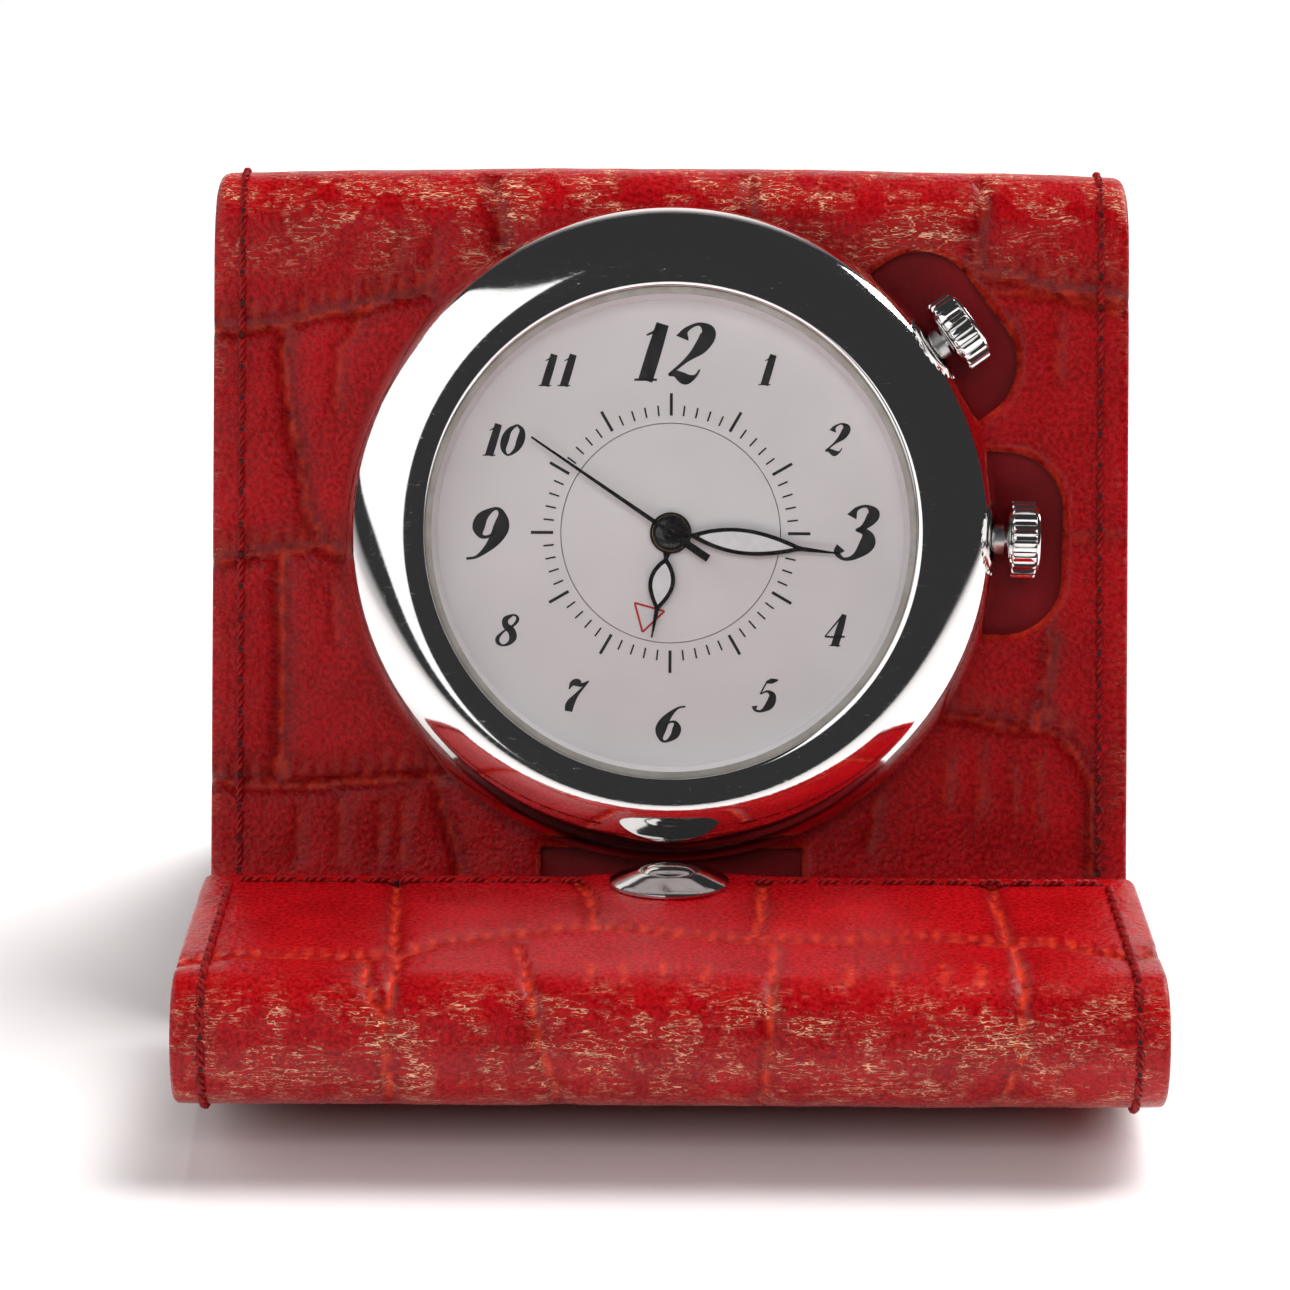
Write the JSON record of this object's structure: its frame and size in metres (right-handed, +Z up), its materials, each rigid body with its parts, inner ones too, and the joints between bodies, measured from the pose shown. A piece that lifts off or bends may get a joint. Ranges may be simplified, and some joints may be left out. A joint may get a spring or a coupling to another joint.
{
  "type": "travel alarm clock",
  "caption": "Round chrome alarm clock held in a folding leather travel case that stands by itself, with two setting crowns and a snap-fastened flap.",
  "frame": {"origin": "on the table under the middle of the standing case", "axes": "+X across the case to the right of the dial as it is read, +Z up, the dial faces -Y and leans back"},
  "size_m": [0.07, 0.087, 0.0629],
  "materials": {
    "croc_leather": "embossed, glossy, worn along the folds",
    "lining_leather": "smooth, matt",
    "stiffener": "pressed board",
    "thread": "waxed thread",
    "chrome": "mirror polished",
    "snap_metal": "polished",
    "steel": "fine turned",
    "brass": "rolled",
    "crystal": "clear, flat",
    "dial_white": "satin white enamel",
    "hand_black": "gloss black",
    "gasket": "matt",
    "clear_gasket": "clear nylon",
    "ivory_plastic": "moulded",
    "circuit_green": "solder mask",
    "copper": "enamelled copper wire",
    "magnet": "sintered"
  },
  "bodies": {
    "clock_panel": {"clock_panel_leather": "croc_leather", "clock_panel_lining": "lining_leather", "clock_panel_board": "stiffener", "clock_panel_back_leather": "croc_leather", "panel_stitches": "thread", "top_fold_leather": "croc_leather", "bottom_fold_leather": "croc_leather", "case_ring": "chrome", "case_back": "chrome", "case_back_gasket": "gasket", "retaining_ring": "steel", "bezel": "chrome", "crystal": "crystal", "crystal_gasket": "clear_gasket", "dial_surround": "dial_white", "dial": "dial_white", "movement_ring": "ivory_plastic", "main_plate": "brass", "train_bridge": "steel", "movement_screws": "steel", "stator": "steel", "coil": "copper", "circuit_board": "circuit_green", "battery": "steel", "battery_clamp": "steel", "buzzer_disc": "brass", "crown_tubes": "steel"},
    "rear_cover": {"rear_cover_leather": "croc_leather", "rear_cover_board": "stiffener", "rear_cover_lining": "lining_leather", "snap_post": "snap_metal", "snap_post_rivet": "snap_metal"},
    "flap_base": {"flap_base_leather": "croc_leather", "flap_base_lining": "lining_leather", "flap_roll_leather": "croc_leather", "flap_roll_lining": "lining_leather"},
    "flap_leaf": {"flap_leaf_leather": "croc_leather", "flap_leaf_lining": "lining_leather", "flap_leaf_stitches": "thread", "snap_cap": "snap_metal", "snap_socket": "snap_metal"},
    "second_hand_arbor": {"second_hand": "hand_black", "second_wheel": "brass"},
    "minute_hand_arbor": {"minute_hand": "hand_black", "cannon_pinion": "brass"},
    "hour_hand_arbor": {"hour_hand": "hand_black", "hour_wheel": "brass"},
    "centre_wheel": {"centre_wheel": "brass"},
    "third_wheel": {"third_wheel": "brass"},
    "step_wheel": {"step_wheel": "brass"},
    "rotor": {"rotor": "magnet"},
    "minute_wheel": {"minute_wheel": "brass"},
    "alarm_disc": {"alarm_disc": "dial_white"},
    "time_setting_lever": {"time_setting_lever": "steel"},
    "time_crown": {"time_crown": "chrome", "time_stem": "steel"},
    "alarm_setting_lever": {"alarm_setting_lever": "steel"},
    "alarm_crown": {"alarm_crown": "chrome", "alarm_stem": "steel"}
  },
  "joints": [
    {"name": "rear_cover_fold", "type": "hinge", "parent": "clock_panel", "child": "rear_cover", "pos_m": [0, 0.00915, 0.0579], "axis": [1, 0, 0], "range_deg": [-4, 135], "deforming": ["top_fold_leather"]},
    {"name": "flap_base_fold", "type": "hinge", "parent": "clock_panel", "child": "flap_base", "pos_m": [0, -0.00998, 0.0039], "axis": [-1, 0, 0], "range_deg": [-8.3, 5], "deforming": ["bottom_fold_leather"]},
    {"name": "flap_leaf_fold", "type": "hinge", "parent": "flap_base", "child": "flap_leaf", "pos_m": [0, -0.0385, 0.00927], "axis": [1, 0, 0], "range_deg": [0, 165], "deforming": ["flap_roll_leather", "flap_roll_lining"]},
    {"name": "second_hand_turn", "type": "hinge", "parent": "clock_panel", "child": "second_hand_arbor", "pos_m": [0, -0.00143, 0.03698], "axis": [0, -0.9681, 0.2504], "continuous": true},
    {"name": "third_wheel_turn", "type": "hinge", "parent": "clock_panel", "child": "third_wheel", "pos_m": [-0.00255, -0.00253, 0.03271], "axis": [0, -0.9681, 0.2504], "continuous": true},
    {"name": "centre_wheel_turn", "type": "hinge", "parent": "clock_panel", "child": "centre_wheel", "pos_m": [0, -0.00143, 0.03698], "axis": [0, -0.9681, 0.2504], "continuous": true},
    {"name": "step_wheel_turn", "type": "hinge", "parent": "clock_panel", "child": "step_wheel", "pos_m": [-0.00185, -0.00015, 0.0419], "axis": [0, -0.9681, 0.2504], "continuous": true},
    {"name": "rotor_turn", "type": "hinge", "parent": "clock_panel", "child": "rotor", "pos_m": [-0.00495, -0.00002, 0.04243], "axis": [0, -0.9681, 0.2504], "continuous": true},
    {"name": "minute_hand_turn", "type": "hinge", "parent": "clock_panel", "child": "minute_hand_arbor", "pos_m": [0, -0.00143, 0.03698], "axis": [0, -0.9681, 0.2504], "continuous": true},
    {"name": "minute_wheel_turn", "type": "hinge", "parent": "clock_panel", "child": "minute_wheel", "pos_m": [0.00124, -0.00259, 0.03249], "axis": [0, -0.9681, 0.2504], "continuous": true},
    {"name": "hour_hand_turn", "type": "hinge", "parent": "clock_panel", "child": "hour_hand_arbor", "pos_m": [0, -0.00143, 0.03698], "axis": [0, -0.9681, 0.2504], "continuous": true},
    {"name": "alarm_disc_turn", "type": "hinge", "parent": "clock_panel", "child": "alarm_disc", "pos_m": [0, -0.00143, 0.03698], "axis": [0, -0.9681, 0.2504], "continuous": true},
    {"name": "time_crown_pull", "type": "slide", "parent": "clock_panel", "child": "time_setting_lever", "axis": [0.9999, -0.0031, -0.0118], "range_m": [0, 0.001]},
    {"name": "time_crown_turn", "type": "hinge", "parent": "time_setting_lever", "child": "time_crown", "pos_m": [0.026, -0.0032, 0.03711], "axis": [0.9999, -0.0031, -0.0118], "continuous": true},
    {"name": "alarm_crown_pull", "type": "slide", "parent": "clock_panel", "child": "alarm_setting_lever", "axis": [0.8151, 0.145, 0.5608], "range_m": [0, 0.001]},
    {"name": "alarm_crown_turn", "type": "hinge", "parent": "alarm_setting_lever", "child": "alarm_crown", "pos_m": [0.02119, 0.00065, 0.052], "axis": [0.8151, 0.145, 0.5608], "continuous": true}
  ],
  "couplings": [
    {"joint": "third_wheel_turn", "follows": "second_hand_turn", "ratio": -0.13333},
    {"joint": "centre_wheel_turn", "follows": "second_hand_turn", "ratio": 0.016667},
    {"joint": "step_wheel_turn", "follows": "second_hand_turn", "ratio": -5},
    {"joint": "rotor_turn", "follows": "second_hand_turn", "ratio": 30},
    {"joint": "minute_wheel_turn", "follows": "minute_hand_turn", "ratio": -0.33333},
    {"joint": "hour_hand_turn", "follows": "minute_hand_turn", "ratio": 0.083333},
    {"joint": "alarm_crown_turn", "follows": "alarm_disc_turn", "ratio": -11.667}
  ]
}
